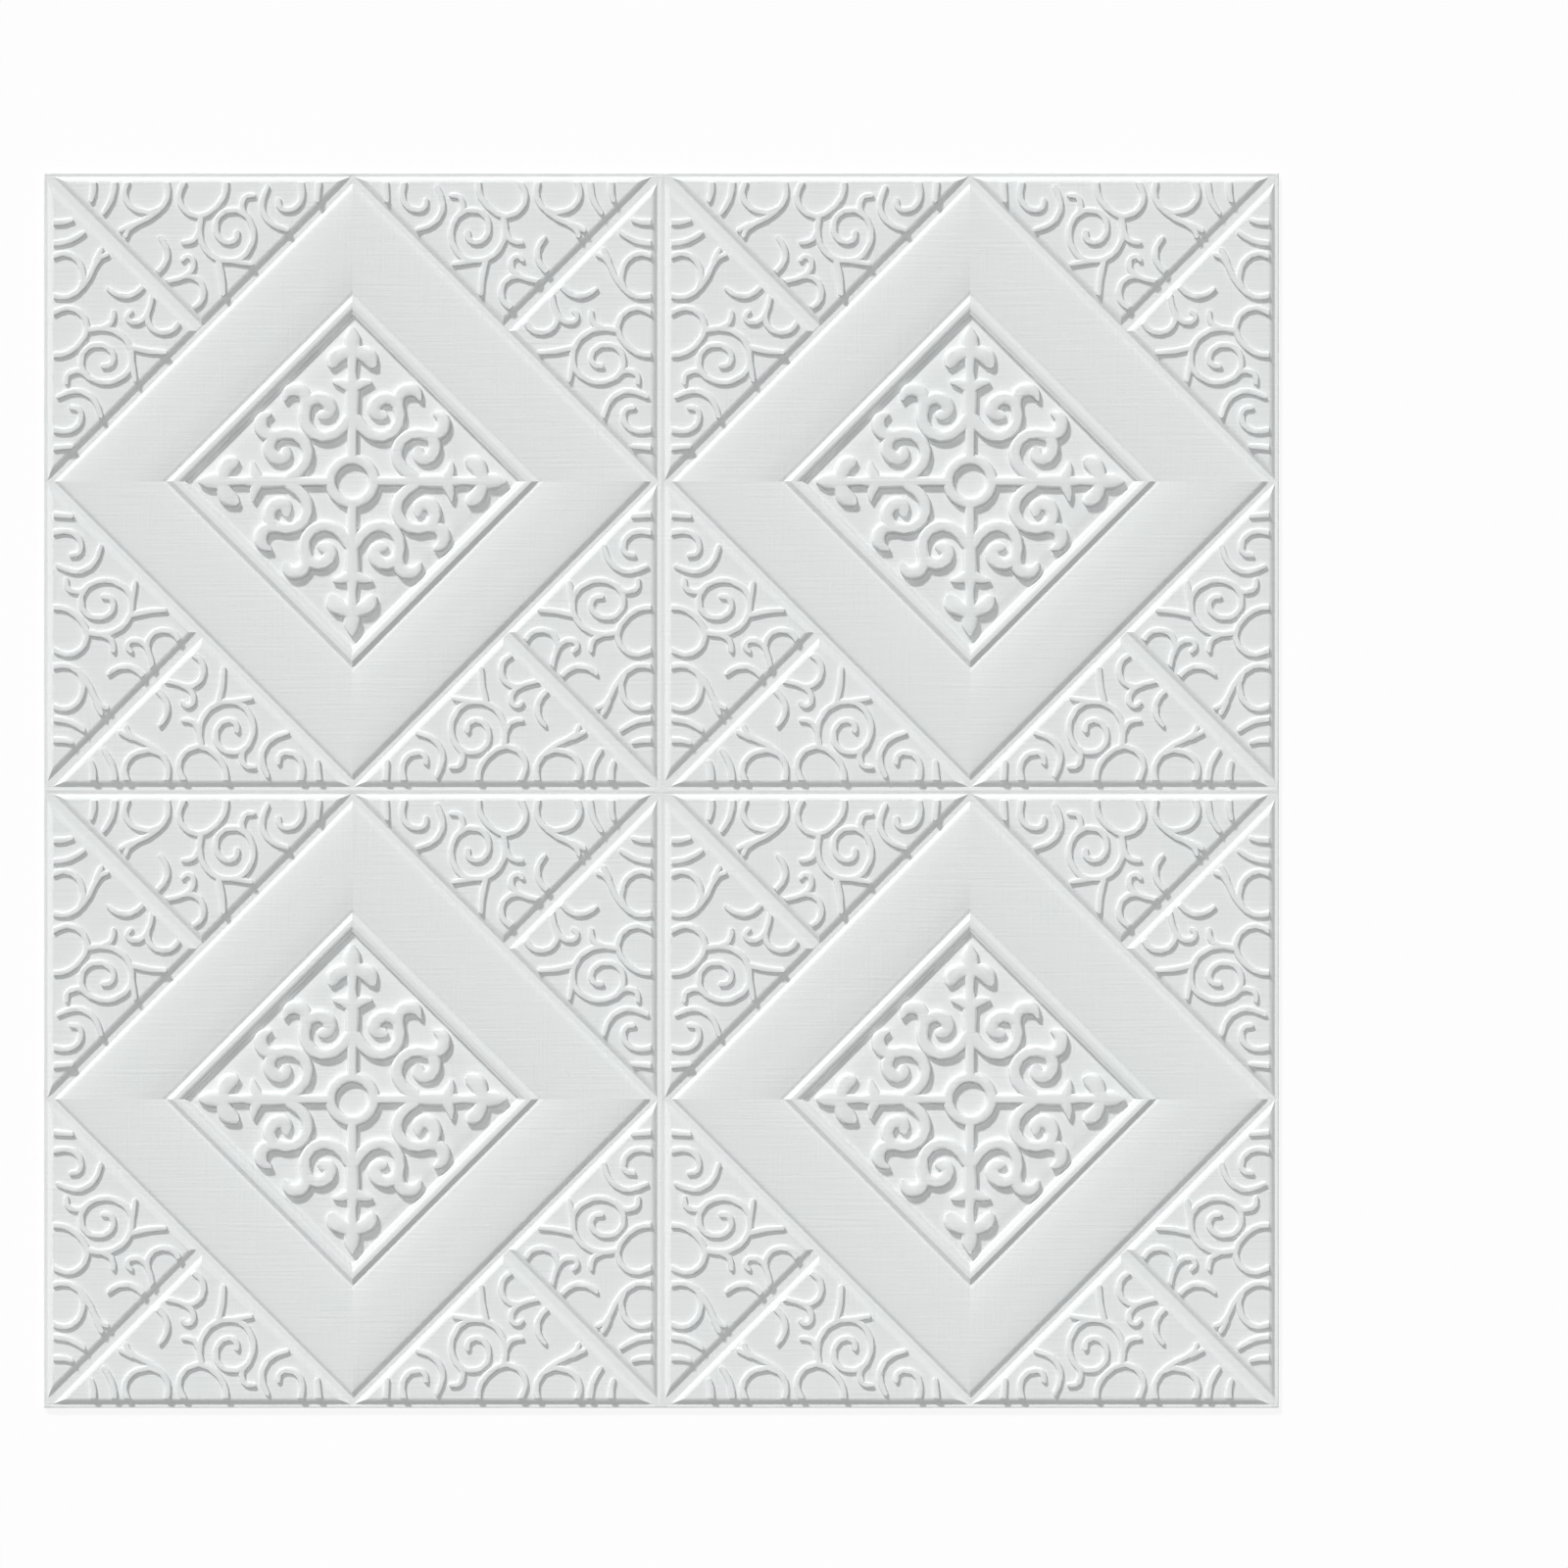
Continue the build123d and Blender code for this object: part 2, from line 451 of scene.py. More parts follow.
@dataclass
class EmbossingDie:
    """The form of one wedge: a bed with strokes on it, and the tools that press its grooves.

    Distances along the bed are read on the wedge's straight side, from the module's centre, and
    heights from the back. Depth, overrun, runs and leads only keep the bed and the tools larger
    than the wedge: runs and leads are shares of half a module, the bed's lead a share of its run.
    """

    origin: Vector
    unit: float
    module_half: float = 175.0
    panel_height: float = 2.6
    panel_dip: float = 0.1
    moat_height: float = 2.05
    pad_height: float = 4.1
    shelf_height: float = 3.95
    shelf_lift: float = 0.06
    frame_top: float = 4.9
    frame_shoulder: float = 0.34
    valley_height: float = 3.3
    valley_lift: float = 0.42
    crown_height: float = 4.6
    crown_start: float = 111.0
    crown_end: float = 163.6
    inner_drop: float = 0.7
    outer_drop: float = 0.6
    crown_power: float = 2.8
    crown_steps: int = 20
    lip_drop: float = 0.2
    lip_fall: float = 0.6
    ornament_rise: float = 2.65
    ornament_half: float = 3.25
    stroke_rise: float = 1.395
    stroke_half: float = 1.9
    boundary_end: float = 173.6
    boundary: Groove = Groove(floor_width=3.2, floor_height=2.2, flank_width=4.05, bead=0.12)
    diagonal: Groove = Groove(floor_width=4.6, floor_height=2.4, flank_width=3.6)
    edge: Groove = Groove(floor_width=4.4, floor_height=2.3, flank_width=3.6, bead=0.26)
    mouth_splay: float = 0.4
    crease_radius: float = 0.3
    crease_share: float = 0.45
    crease_limit: float = math.radians(9)
    depth: float = 20.0
    overrun: float = 40.0
    bed_run: float = 0.8
    bed_lead: float = 0.15
    edge_run: float = 1.5
    edge_lead: float = 0.25
    stroke_triangles: int = 4850

    def crown(self) -> list[Point]:
        """Draw the soft crown of the field, which falls more towards the frame.

        Returns:
            Distance and height of each point of the crown.
        """
        middle = (self.crown_start + self.crown_end) / 2
        reach = (self.crown_end - self.crown_start) / 2
        points = []
        for step in range(self.crown_steps + 1):
            share = 2 * step / self.crown_steps - 1
            drop = self.inner_drop if share < 0 else self.outer_drop
            height = self.crown_height - drop * abs(share) ** self.crown_power
            points.append((middle + share * reach, height))
        return points

    def section(self) -> list[Point]:
        """Draw the bed from the module's centre to its corner.

        Returns:
            Distance and height of each point of the section.
        """
        frame = [
            (-20.0, self.panel_height),
            (80.0, self.panel_height),
            (85.0, self.panel_height - self.panel_dip),
            (92.0, self.moat_height),
            (93.2, self.moat_height),
            (95.2, self.shelf_height),
            (96.1, self.shelf_height + self.shelf_lift),
            (97.2, self.frame_top - self.frame_shoulder),
            (98.9, self.frame_top),
            (101.8, self.frame_top),
            (105.4, self.valley_height),
            (106.0, self.valley_height),
            (108.2, self.valley_height + self.valley_lift),
        ]
        floor_start = self.boundary_end - self.boundary.floor_width * math.sqrt(2)
        groove = [
            (165.6, self.crown_height - self.outer_drop - self.lip_drop),
            (167.0, self.crown_height - self.outer_drop - self.lip_fall),
            (floor_start, self.boundary.floor_height),
            ((floor_start + self.boundary_end) / 2, self.boundary.floor_height + self.boundary.bead),
        ]
        flank = self.boundary.flank(self.pad_height)
        pad = [(self.boundary_end + across * math.sqrt(2), height) for across, height in flank]
        outside = (2 * self.module_half + self.overrun, self.pad_height)
        return [*frame, *self.crown(), *groove, *pad, outside]

    def families(self) -> list[StrokeFamily]:
        """Group the strokes by the floor that they rise from."""
        return [
            StrokeFamily(
                "panel", self.panel_height, self.ornament_rise, self.ornament_half, PANEL_STROKES, 5,
            ),
            StrokeFamily("corner", self.pad_height, self.stroke_rise, self.stroke_half, CORNER_STROKES),
        ]

    def round_creases(self, line: list[Vector]) -> list[Vector]:
        """Round the corners of a section a little, as pressed foam has them.

        Args:
            line: The points of the section.

        Returns:
            The points with each sharp corner turned into a short arc of two flats.
        """
        points = [line[0]]
        for before, here, after in zip(line, line[1:], line[2:]):
            back, ahead = before - here, after - here
            if (-back).angle(ahead) < self.crease_limit:
                points.append(here)
                continue
            room = self.crease_share * min(back.length, ahead.length)
            reach = min(self.crease_radius * self.unit, room)
            near, far = here + back.normalized() * reach, here + ahead.normalized() * reach
            points += [near, here / 2 + (near + far) / 4, far]
        return points + [line[-1]]

    def build_bed(self) -> bpy.types.Object:
        """Model the bed under the strokes as a deep solid.

        Returns:
            The bed, larger than the wedge all round.
        """
        outward = Vector((1, 1, 0)) / 2
        along = Vector((1, -1, 0)) * self.module_half * self.bed_run
        start = self.origin - along * self.unit * self.bed_lead
        line = [
            start + (outward * distance + Vector((0, 0, height))) * self.unit
            for distance, height in self.section()
        ]
        foot = [Vector((place.x, place.y, -self.depth * self.unit)) for place in (line[-1], line[0])]
        return add_prism("die_bed", self.round_creases(line) + foot, along * self.unit)

    def build_strokes(self) -> bpy.types.Object:
        """Model all strokes of the wedge as one object.

        Returns:
            The strokes, thinned to the triangles that their shape needs.
        """
        pieces = [piece for family in self.families() for piece in family.build(self.origin, self.unit)]
        LOG.info("%d strokes", len(pieces))
        strokes = join(pieces)
        strokes.data.calc_loop_triangles()
        share = self.stroke_triangles / len(strokes.data.loop_triangles)
        LOG.info("strokes have %d triangles", len(strokes.data.loop_triangles))
        apply_modifier(strokes, "DECIMATE", ratio=min(1.0, share))
        return strokes

    def groove_outline(self, groove: Groove, across: Vector, start: Vector) -> list[Vector]:
        """Draw a groove's section about its middle line, closed well above the pads.

        Args:
            groove: The groove's sizes.
            across: Level direction square to the groove.
            start: The groove's start on its middle line.

        Returns:
            The corners of the section.
        """
        mouth = (groove.flank_width + self.mouth_splay, self.pad_height + self.depth)
        flank = [*groove.flank(self.pad_height), mouth]
        half = [(groove.floor_width / 2 + reach, height) for reach, height in flank]
        middle = [(0.0, groove.floor_height + groove.bead)] if groove.bead else []
        drawing = [(-reach, height) for reach, height in reversed(half)] + middle + half
        line = [
            start + (across * reach + Vector((0, 0, height))) * self.unit
            for reach, height in drawing
        ]
        return self.round_creases(line)

    def build_grooves(self) -> list[bpy.types.Object]:
        """Model the tools that press the diagonal and the edge groove.

        Returns:
            The two tools.
        """
        half = self.module_half
        inner = self.boundary_end / 2
        diagonal_start = self.origin + Vector((inner, inner, 0)) * self.unit
        diagonal = self.groove_outline(self.diagonal, Vector((-1, 1, 0)).normalized(), diagonal_start)
        edge_start = self.origin + Vector((half, -self.edge_lead * half, 0)) * self.unit
        edge = self.groove_outline(self.edge, Vector((1, 0, 0)), edge_start)
        return [
            add_prism("diagonal_press", diagonal, Vector((half, half, 0)) * self.unit),
            add_prism("edge_press", edge, Vector((0, self.edge_run * half, 0)) * self.unit),
        ]


class Graph:
    """Adds nodes to one node tree and links them, so that a finish reads top to bottom."""

    def __init__(self, tree: bpy.types.NodeTree) -> None:
        """Hold the tree that the nodes go into."""
        self.tree = tree

    def add(
        self, kind: str, values: dict[str, object] | None = None, **settings: object
    ) -> bpy.types.Node:
        """Add a node, set its properties and set or link its inputs.

        Args:
            kind: The node's type.
            values: Input names with a plain value or with the socket that feeds them.
            settings: Values for the node's own properties.

        Returns:
            The new node.
        """
        node = self.tree.nodes.new(kind)
        for key, value in settings.items():
            setattr(node, key, value)
        for key, value in (values or {}).items():
            self.feed(node, key, value)
        return node

    def feed(self, node: bpy.types.Node, key: str | int, value: object) -> None:
        """Set one input of a node, or link it to another node's output.

        Args:
            node: The node.
            key: Name or number of the input.
            value: A plain value, or the socket that feeds the input.
        """
        if isinstance(value, bpy.types.NodeSocket):
            self.tree.links.new(value, node.inputs[key])
        else:
            node.inputs[key].default_value = value

    def math(self, operation: str, first: object, second: object) -> bpy.types.NodeSocket:
        """Combine two values.

        Args:
            operation: The kind of sum.
            first: The first value or its socket.
            second: The second value or its socket.

        Returns:
            The result's socket.
        """
        node = self.add("ShaderNodeMath", operation=operation)
        self.feed(node, 0, first)
        self.feed(node, 1, second)
        return node.outputs["Value"]

    def noise(
        self, place: bpy.types.NodeSocket, scale: object, detail: float = 2.0
    ) -> bpy.types.NodeSocket:
        """Add a noise at a place and scale, and give its value."""
        node = self.add("ShaderNodeTexNoise", {"Vector": place, "Scale": scale, "Detail": detail})
        return node.outputs["Fac"]


def new_group(
    name: str, inputs: dict[str, float], outputs: list[str]
) -> tuple[Graph, bpy.types.Node, bpy.types.Node]:
    """Start a shader node group with named sockets.

    Args:
        name: The group's name.
        inputs: Names of the inputs with their usual values.
        outputs: Names of the outputs.

    Returns:
        The group's graph, its input node and its output node.
    """
    tree = bpy.data.node_groups.new(name, "ShaderNodeTree")
    for key, value in inputs.items():
        socket = tree.interface.new_socket(name=key, in_out="INPUT", socket_type="NodeSocketFloat")
        socket.default_value = value
    for key in outputs:
        tree.interface.new_socket(name=key, in_out="OUTPUT", socket_type="NodeSocketFloat")
    graph = Graph(tree)
    return graph, graph.add("NodeGroupInput"), graph.add("NodeGroupOutput")


@dataclass(frozen=True)
class Grains:
    """Node groups that more than one finish uses."""

    linen: bpy.types.NodeTree
    mottle: bpy.types.NodeTree
    cells: bpy.types.NodeTree

    @staticmethod
    def build_linen() -> bpy.types.NodeTree:
        """Cross two sets of long fine streaks, as the cloth on the press roller leaves them.

        Returns:
            A group with the threads' height from 0 to 1.
        """
        graph, given, result = new_group("linen_grain", {"Threads": 700.0, "Length": 22.0}, ["Height"])
        place = graph.add("ShaderNodeTexCoord").outputs["Object"]
        sets = []
        for along, across in (("X", "Y"), ("Y", "X")):
            scale = graph.add("ShaderNodeCombineXYZ", {
                along: given.outputs["Length"],
                across: given.outputs["Threads"],
                "Z": given.outputs["Length"],
            })
            spread = graph.add("ShaderNodeVectorMath", operation="MULTIPLY")
            graph.feed(spread, 0, place)
            graph.feed(spread, 1, scale.outputs["Vector"])
            sets.append(graph.noise(spread.outputs["Vector"], 1.0))
        graph.feed(result, "Height", graph.math("MULTIPLY", graph.math("ADD", *sets), 0.5))
        return graph.tree

    @staticmethod
    def build_mottle() -> bpy.types.NodeTree:
        """Mix wide clouds with small flecks, for tint and gloss that are never quite even.

        Returns:
            A group with the mottle from 0 to 1.
        """
        graph, given, result = new_group("soft_mottle", {"Clouds": 18.0, "Flecks": 420.0}, ["Mask"])
        place = graph.add("ShaderNodeTexCoord").outputs["Object"]
        clouds = graph.noise(place, given.outputs["Clouds"], 3.0)
        flecks = graph.noise(place, given.outputs["Flecks"], 2.0)
        cloud_share, fleck_share = 0.7, 0.3
        soft = graph.math("MULTIPLY", clouds, cloud_share)
        sharp = graph.math("MULTIPLY", flecks, fleck_share)
        blend = graph.math("ADD", soft, sharp)
        spread = graph.add("ShaderNodeMapRange", {"Value": blend, "From Min": 0.35, "From Max": 0.65})
        graph.feed(result, "Mask", spread.outputs["Result"])
        return graph.tree

    @staticmethod
    def build_cells() -> bpy.types.NodeTree:
        """Pack small round cells, as foam has them.

        Returns:
            A group with the cells' height from 0 at a wall to 1 in a hollow.
        """
        graph, given, result = new_group("foam_cells", {"Cells": 1400.0}, ["Height"])
        place = graph.add("ShaderNodeTexCoord").outputs["Object"]
        cells = graph.add("ShaderNodeTexVoronoi", {"Vector": place, "Scale": given.outputs["Cells"]})
        hollow = graph.add("ShaderNodeMapRange", {
            "Value": cells.outputs["Distance"], "From Min": 0.1, "From Max": 0.6,
        })
        graph.feed(result, "Height", hollow.outputs["Result"])
        return graph.tree

    @classmethod
    def build(cls) -> Grains:
        """Build every group once."""
        return cls(cls.build_linen(), cls.build_mottle(), cls.build_cells())


@dataclass(frozen=True)
class Finish:
    """What every finish of the tile has: two near tints, a roughness range and a fine relief.

    Clouds and flecks are the scales of the mottle that mixes the tints.
    """

    name: str
    tint: tuple[float, float, float]
    second_tint: tuple[float, float, float]
    roughness: tuple[float, float]
    relief: float
    clouds: float
    flecks: float
    specular: float = 0.08

    def start(self, grains: Grains) -> tuple[Graph, bpy.types.Material]:
        """Make the material with its mottled tint and roughness.

        Args:
            grains: The shared node groups.

        Returns:
            The material's graph and the material.
        """
        material = bpy.data.materials.new(self.name)
        material.use_nodes = True
        graph = Graph(material.node_tree)
        mottle = graph.add("ShaderNodeGroup", {}, node_tree=grains.mottle)
        graph.feed(mottle, "Clouds", self.clouds)
        graph.feed(mottle, "Flecks", self.flecks)
        tint = graph.add("ShaderNodeMix", data_type="RGBA")
        graph.feed(tint, MIX_FACTOR, mottle.outputs["Mask"])
        graph.feed(tint, MIX_FIRST, (*self.tint, 1.0))
        graph.feed(tint, MIX_SECOND, (*self.second_tint, 1.0))
        gloss = graph.add("ShaderNodeMapRange", {
            "Value": mottle.outputs["Mask"], "To Min": self.roughness[0], "To Max": self.roughness[1],
        })
        shader = material.node_tree.nodes["Principled BSDF"]
        graph.feed(shader, "Base Color", tint.outputs[MIX_RESULT])
        graph.feed(shader, "Roughness", gloss.outputs["Result"])
        graph.feed(shader, "Specular IOR Level", self.specular)
        return graph, material

    def emboss(self, graph: Graph, material: bpy.types.Material, height: bpy.types.NodeSocket) -> None:
        """Feed a fine relief to the shader's normal.

        Args:
            graph: The material's graph.
            material: The material.
            height: The relief from 0 to 1.
        """
        bump = graph.add("ShaderNodeBump", {"Height": height, "Distance": self.relief, "Strength": 1.0})
        graph.feed(material.node_tree.nodes["Principled BSDF"], "Normal", bump.outputs["Normal"])


@dataclass(frozen=True)
class EmbossedFilm(Finish):
    """Matte white film on the face, with a linen grain and a faint orange peel."""

    name: str = "embossed_film"
    tint: tuple[float, float, float] = (0.762, 0.79, 0.784)
    second_tint: tuple[float, float, float] = (0.782, 0.79, 0.788)
    roughness: tuple[float, float] = (0.74, 0.86)
    relief: float = 0.3 * MM
    clouds: float = 16.0
    flecks: float = 380.0
    peel_scale: float = 1500.0
    peel_share: float = 0.25

    def material(self, grains: Grains) -> bpy.types.Material:
        """Make the film's material.

        Args:
            grains: The shared node groups.

        Returns:
            The material.
        """
        graph, material = self.start(grains)
        linen = graph.add("ShaderNodeGroup", {}, node_tree=grains.linen)
        place = graph.add("ShaderNodeTexCoord").outputs["Object"]
        peel = graph.math("MULTIPLY", graph.noise(place, self.peel_scale), self.peel_share)
        self.emboss(graph, material, graph.math("ADD", linen.outputs["Height"], peel))
        return material


@dataclass(frozen=True)
class CutFoam(Finish):
    """Open white foam along the tile's cut edge, with its cells showing."""

    name: str = "cut_foam"
    tint: tuple[float, float, float] = (0.74, 0.755, 0.75)
    second_tint: tuple[float, float, float] = (0.8, 0.805, 0.8)
    roughness: tuple[float, float] = (0.75, 0.9)
    relief: float = 0.12 * MM
    clouds: float = 120.0
    flecks: float = 1600.0

    def material(self, grains: Grains) -> bpy.types.Material:
        """Make the cut edge's material.

        Args:
            grains: The shared node groups.

        Returns:
            The material.
        """
        graph, material = self.start(grains)
        cells = graph.add("ShaderNodeGroup", {}, node_tree=grains.cells)
        self.emboss(graph, material, graph.math("SUBTRACT", 1.0, cells.outputs["Height"]))
        return material


@dataclass(frozen=True)
class ReleaseLiner(Finish):
    """Smooth waxed paper that covers the adhesive back, a little warmer than the face."""

    name: str = "release_liner"
    tint: tuple[float, float, float] = (0.74, 0.735, 0.71)
    second_tint: tuple[float, float, float] = (0.79, 0.785, 0.765)
    roughness: tuple[float, float] = (0.32, 0.46)
    relief: float = 0.02 * MM
    clouds: float = 30.0
    flecks: float = 900.0
    fibre_threads: float = 1100.0
    fibre_length: float = 260.0

    def material(self, grains: Grains) -> bpy.types.Material:
        """Make the back's material.

        Args:
            grains: The shared node groups.

        Returns:
            The material.
        """
        graph, material = self.start(grains)
        fibres = graph.add("ShaderNodeGroup", {}, node_tree=grains.linen)
        graph.feed(fibres, "Threads", self.fibre_threads)
        graph.feed(fibres, "Length", self.fibre_length)
        self.emboss(graph, material, fibres.outputs["Height"])
        return material


@dataclass
class CeilingTile:
    """The whole tile: pressed face, pressed edges and flat back, as one closed sheet."""

    die: EmbossingDie
    half: float
    cut_level: float = 0.8 * MM
    merge: float = 0.004 * MM
    roll_width: float = 0.7 * MM
    roll_drop: float = 0.55 * MM
    roll_steps: tuple[float, ...] = (0.1, 0.35, 1.0)
    wide_face: float = 3.0 * MM * MM
    crisp_angle: float = math.radians(18)
    smooth_angle: float = math.radians(45)
    mitre_start: float = 91.0
    downward: float = -0.5

    def build_wedge(self) -> bpy.types.Object:
        """Join the strokes to the bed, press the grooves and cut out the wedge.

        Returns:
            The face of one eighth of a module, open at its sides.
        """
        sheet = self.die.build_bed()
        strokes = self.die.build_strokes()
        carve(sheet, strokes, Carving.ADD)
        presses = self.die.build_grooves()
        for tool in presses:
            carve(sheet, tool, Carving.PRESS)
        remove(strokes, *presses)
        only(sheet)
        bpy.ops.object.mode_set(mode="EDIT")
        outside = [
            ((self.half, self.half, 0), (0, -1, 0)),
            ((0, 0, 0), (-1, 1, 0)),
            ((2 * self.half, 0, 0), (1, 0, 0)),
            ((0, 0, self.cut_level), (0, 0, -1)),
        ]
        for place, normal in outside:
            bpy.ops.mesh.select_all(action="SELECT")
            bpy.ops.mesh.bisect(plane_co=place, plane_no=normal, clear_outer=True, threshold=CUT_TOLERANCE)
        bpy.ops.mesh.select_all(action="SELECT")
        bpy.ops.mesh.remove_doubles(threshold=self.merge)
        bpy.ops.object.mode_set(mode="OBJECT")
        sheet.name = "pressed_wedge"
        LOG.info("wedge has %d faces", len(sheet.data.polygons))
        return sheet

    def true_sides(self, sheet: bpy.types.Object) -> None:
        """Put the wedge's side points exactly on the lines that it is mirrored about.

        Args:
            sheet: The pressed wedge.
        """
        for vertex in sheet.data.vertices:
            x, y = vertex.co.x, vertex.co.y
            if abs(x - y) < self.merge:
                x = y = (x + y) / 2
            if abs(y - self.half) < self.merge:
                y = self.half
            if abs(x - 2 * self.half) < self.merge:
                x = 2 * self.half
            vertex.co.x, vertex.co.y = x, y

    def mirror_over(self, sheet: bpy.types.Object) -> None:
        """Mirror the wedge over its module, and the module over the tile.

        Args:
            sheet: The pressed wedge, which becomes the whole face.
        """
        lines = [
            ((0, 0, 0), math.pi / 4, (False, True, False)),
            ((self.half, self.half, 0), 0.0, (True, True, False)),
            ((0, 0, 0), 0.0, (True, True, False)),
        ]
        for place, turn, axes in lines:
            bpy.ops.object.empty_add(location=place, rotation=(0, 0, turn))
            centre = bpy.context.object
            apply_modifier(sheet, "MIRROR", mirror_object=centre, use_axis=axes, merge_threshold=self.merge)
            remove(centre)

    def roll_border(self, sheet: bpy.types.Object) -> None:
        """Round the tile's outer border down, as the cutting die leaves it.

        Args:
            sheet: The whole face.
        """
        only(sheet)
        bpy.ops.object.mode_set(mode="EDIT")
        for step in self.roll_steps:
            for side in ((1, 0, 0), (-1, 0, 0), (0, 1, 0), (0, -1, 0)):
                outward = Vector(side)
                line = outward * (2 * self.half - step * self.roll_width)
                bpy.ops.mesh.select_all(action="SELECT")
                bpy.ops.mesh.bisect(plane_co=line, plane_no=outward, threshold=CUT_TOLERANCE)
        bpy.ops.object.mode_set(mode="OBJECT")
        for vertex in sheet.data.vertices:
            gap = 2 * self.half - max(abs(vertex.co.x), abs(vertex.co.y))
            lean = 1 - min(max(gap / self.roll_width, 0.0), 1.0)
            vertex.co.z -= self.roll_drop * (1 - math.sqrt(1 - lean * lean))

    def close_back(self, sheet: bpy.types.Object) -> None:
        """Run the face's border down to the floor and close the back.

        Args:
            sheet: The whole face.
        """
        only(sheet)
        bpy.ops.object.mode_set(mode="EDIT")
        bpy.ops.mesh.select_mode(type="EDGE")
        bpy.ops.mesh.select_all(action="DESELECT")
        bpy.ops.mesh.select_non_manifold(
            extend=False, use_wire=False, use_boundary=True, use_multi_face=False,
            use_non_contiguous=False, use_verts=False,
        )
        bpy.ops.mesh.extrude_edges_move(TRANSFORM_OT_translate={"value": (0, 0, -MM)})
        bpy.ops.transform.resize(value=(1, 1, 0), center_override=(0, 0, 0))
        bpy.ops.mesh.edge_face_add()
        bpy.ops.mesh.select_all(action="SELECT")
        bpy.ops.mesh.normals_make_consistent(inside=False)
        bpy.ops.object.mode_set(mode="OBJECT")

    def crisp_edges(self, mesh: bpy.types.Mesh) -> set[tuple[int, int]]:
        """Find the edges where two wide faces meet at an angle, as at the crossings of grooves.

        Args:
            mesh: The closed tile's mesh.

        Returns:
            The vertex pairs of those edges.
        """
        leaning: dict[tuple[int, int], Vector] = {}
        found = set()
        for face in mesh.polygons:
            if face.area < self.wide_face:
                continue
            for pair in face.edge_keys:
                if pair in leaning and leaning[pair].angle(face.normal) > self.crisp_angle:
                    found.add(pair)
                leaning[pair] = face.normal.copy()
        return found

    def mark_mitres(self, sheet: bpy.types.Object) -> None:
        """Keep the mitre lines and the grooves' crossings crisp, and shade the rest smooth.

        Args:
            sheet: The closed tile.
        """
        mesh = sheet.data
        start = self.mitre_start * self.die.unit
        crisp = self.crisp_edges(mesh)
        LOG.info("%d crisp edges", len(crisp))
        only(sheet)
        bpy.ops.object.shade_smooth_by_angle(angle=self.smooth_angle)
        bpy.ops.object.mode_set(mode="EDIT")
        bpy.ops.mesh.select_mode(type="EDGE")
        bpy.ops.mesh.select_all(action="DESELECT")
        bpy.ops.object.mode_set(mode="OBJECT")
        for edge in mesh.edges:
            ends = [mesh.vertices[index].co for index in edge.vertices]
            across = [
                max(abs(abs(end.x) - self.half) for end in ends),
                max(abs(abs(end.y) - self.half) for end in ends),
            ]
            raised = min(end.z for end in ends) > MM
            mitre = raised and min(across) < self.merge and max(across) > start
            edge.select = mitre or edge.key in crisp
        bpy.ops.object.mode_set(mode="EDIT")
        bpy.ops.mesh.mark_sharp()
        bpy.ops.object.mode_set(mode="OBJECT")
        apply_modifier(sheet, "WEIGHTED_NORMAL", keep_sharp=True, weight=50)

    def build(self) -> bpy.types.Object:
        """Model the whole tile.

        Returns:
            The closed tile, at the origin.
        """
        sheet = self.build_wedge()
        self.true_sides(sheet)
        self.mirror_over(sheet)
        self.roll_border(sheet)
        self.close_back(sheet)
        self.mark_mitres(sheet)
        sheet.name = PIECE
        return sheet

    def dress(self, sheet: bpy.types.Object) -> None:
        """Give the face, the cut edge and the back their finishes.

        Args:
            sheet: The closed tile.
        """
        grains = Grains.build()
        finishes = {Zone.FACE: EmbossedFilm(), Zone.CUT_EDGE: CutFoam(), Zone.BACK: ReleaseLiner()}
        for zone in Zone:
            sheet.data.materials.append(finishes[zone].material(grains))
        for face in sheet.data.polygons:
            face.material_index = self.zone(face).value

    def zone(self, face: bpy.types.MeshPolygon) -> Zone:
        """Tell which kind of surface a face of the tile belongs to.

        Args:
            face: A face of the closed tile.

        Returns:
            The face's zone.
        """
        if face.normal.z < self.downward and face.center.z < self.cut_level:
            return Zone.BACK
        reach = max(abs(face.center.x), abs(face.center.y))
        return Zone.CUT_EDGE if reach > 2 * self.half - self.merge else Zone.FACE


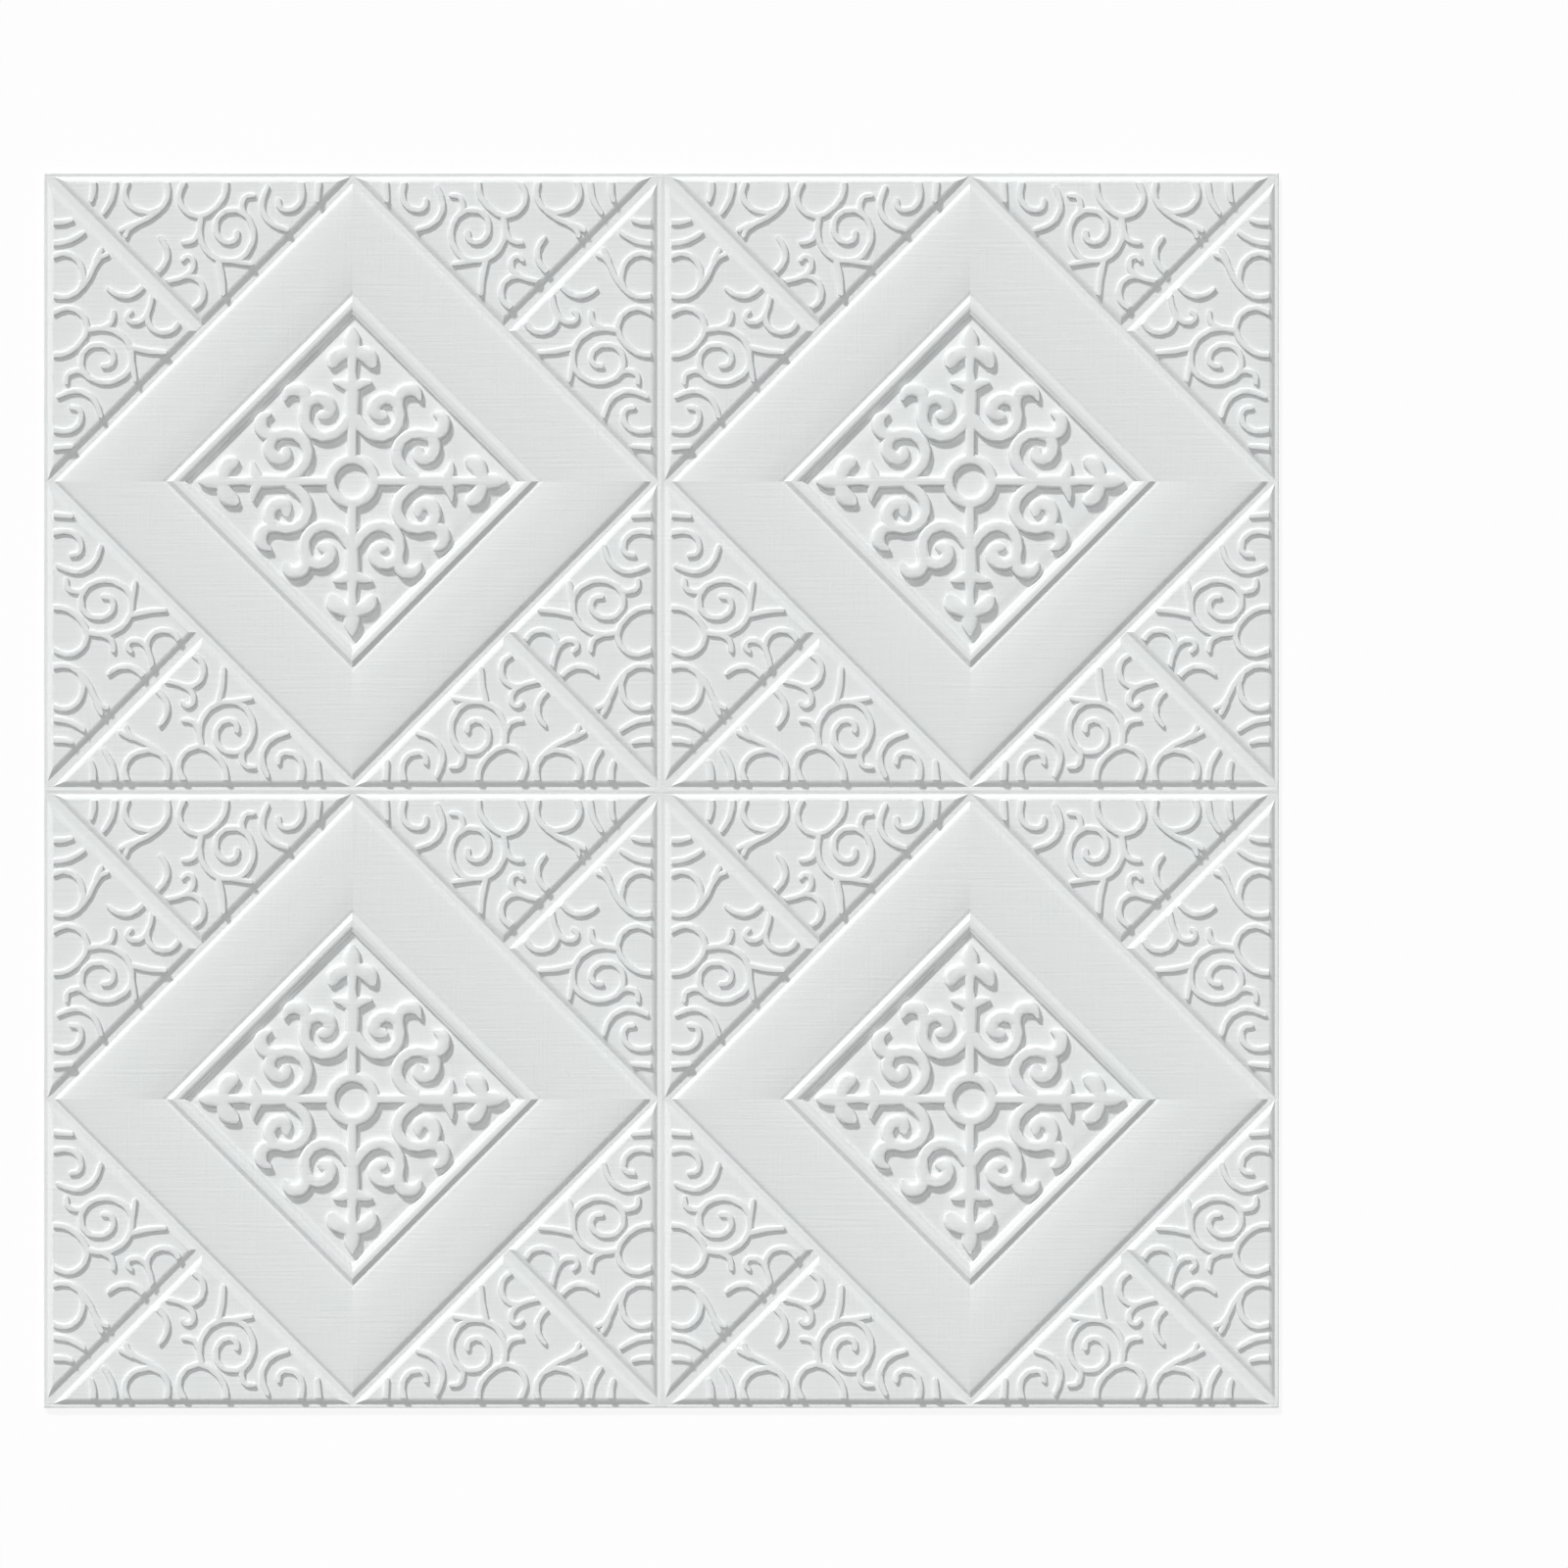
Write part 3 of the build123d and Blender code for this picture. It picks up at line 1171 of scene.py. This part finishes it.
@dataclass
class Studio:
    """Pale floor, lamps and the camera that looks straight down on the tile."""

    face_height: float
    frame_pixels: float = 1600.0
    pixels_per_mm: float = 1.802
    tile_middle: Point = (674.75, 806.5)
    lens: float = 120.0
    sensor: float = 36.0
    sky_level: float = 0.135
    key_level: float = 0.44
    key_bearing: float = 28.0
    key_rise: float = 26.0
    key_softness: float = 6.0
    top_level: float = 0.365
    top_softness: float = 40.0
    lamp_distance: float = 3.0
    floor_size: float = 80.0
    floor_gap: float = 0.2 * MM
    floor_white: float = 0.95
    floor_roughness: float = 0.9
    floor_glow: float = 0.84

    def add_floor(self) -> None:
        """Lay a wide pale floor that shows white and keeps the tile's shadow."""
        bpy.ops.mesh.primitive_plane_add(size=self.floor_size, location=(0, 0, -self.floor_gap))
        floor = new_piece("studio_floor")
        material = bpy.data.materials.new("studio_floor")
        material.use_nodes = True
        nodes, links = material.node_tree.nodes, material.node_tree.links
        paint = nodes["Principled BSDF"]
        paint.inputs["Base Color"].default_value = (self.floor_white, self.floor_white, self.floor_white, 1)
        paint.inputs["Roughness"].default_value = self.floor_roughness
        glow = nodes.new("ShaderNodeEmission")
        glow.inputs["Strength"].default_value = 1.0
        path = nodes.new("ShaderNodeLightPath").outputs
        graph = Graph(material.node_tree)
        mirrored = graph.math("MAXIMUM", path["Is Glossy Ray"], path["Is Transmission Ray"])
        seen = graph.math("MAXIMUM", path["Is Camera Ray"], mirrored)
        mix = nodes.new("ShaderNodeMixShader")
        links.new(graph.math("MULTIPLY", seen, self.floor_glow), mix.inputs["Fac"])
        links.new(paint.outputs["BSDF"], mix.inputs[1])
        links.new(glow.outputs["Emission"], mix.inputs[2])
        links.new(mix.outputs["Shader"], nodes["Material Output"].inputs["Surface"])
        floor.data.materials.append(material)

    def add_lamp(self, name: str, toward: Vector, level: float, softness: float) -> None:
        """Hang one far lamp.

        Args:
            name: The lamp's name.
            toward: Unit direction from the tile to the lamp.
            level: The share of plain light that it gives to a level white surface.
            softness: The angle that the lamp fills, in degrees.
        """
        bpy.ops.object.light_add(type="SUN", location=self.lamp_distance * toward)
        lamp = bpy.context.object
        lamp.name = name
        lamp.data.energy = level * math.pi / toward.z
        lamp.data.angle = math.radians(softness)
        lamp.rotation_euler = (-toward).to_track_quat("-Z", "Y").to_euler()

    def add_light(self) -> None:
        """Light the tile with a low lamp at its upper left and a wide one above, under an even sky."""
        world = bpy.context.scene.world or bpy.data.worlds.new("studio_sky")
        bpy.context.scene.world = world
        world.use_nodes = True
        sky = world.node_tree.nodes["Background"]
        sky.inputs["Color"].default_value = (1, 1, 1, 1)
        sky.inputs["Strength"].default_value = self.sky_level
        bearing = math.radians(self.key_bearing)
        rise = math.radians(self.key_rise)
        level = Vector((-math.sin(bearing), math.cos(bearing), 0)) * math.cos(rise)
        toward = level + Vector((0, 0, math.sin(rise)))
        self.add_lamp("key_lamp", toward, self.key_level, self.key_softness)
        self.add_lamp("top_lamp", Vector((0, 0, 1)), self.top_level, self.top_softness)

    def add_camera(self) -> None:
        """Look straight down, with the tile where the photograph has it."""
        width = self.frame_pixels / self.pixels_per_mm * MM
        distance = width * self.lens / self.sensor
        bpy.ops.object.camera_add(location=(0, 0, distance + self.face_height), rotation=(0, 0, 0))
        camera = bpy.context.object
        camera.data.lens = self.lens
        camera.data.sensor_width = self.sensor
        centre = self.frame_pixels / 2
        camera.data.shift_x = (centre - self.tile_middle[0]) / self.frame_pixels
        camera.data.shift_y = (self.tile_middle[1] - centre) / self.frame_pixels
        bpy.context.scene.camera = camera

    def build(self) -> None:
        """Set up the whole studio."""
        self.add_floor()
        self.add_light()
        self.add_camera()
        bpy.context.scene.view_settings.view_transform = "Standard"


def main() -> None:
    """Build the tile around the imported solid, dress it and set up the studio."""
    logging.basicConfig(level=logging.INFO, format="%(name)s: %(message)s")
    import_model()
    low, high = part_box(NODE)
    half = (high.x - low.x) / 4
    die = EmbossingDie(origin=Vector((half, half, 0)), unit=half / EmbossingDie.module_half)
    tile = CeilingTile(die=die, half=half)
    piece = tile.build()
    tile.dress(piece)
    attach(piece, BODY)
    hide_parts(NODE)
    LOG.info("%s has %d faces", piece.name, len(piece.data.polygons))
    Studio(face_height=high.z).build()


if __name__ == "__main__":
    main()
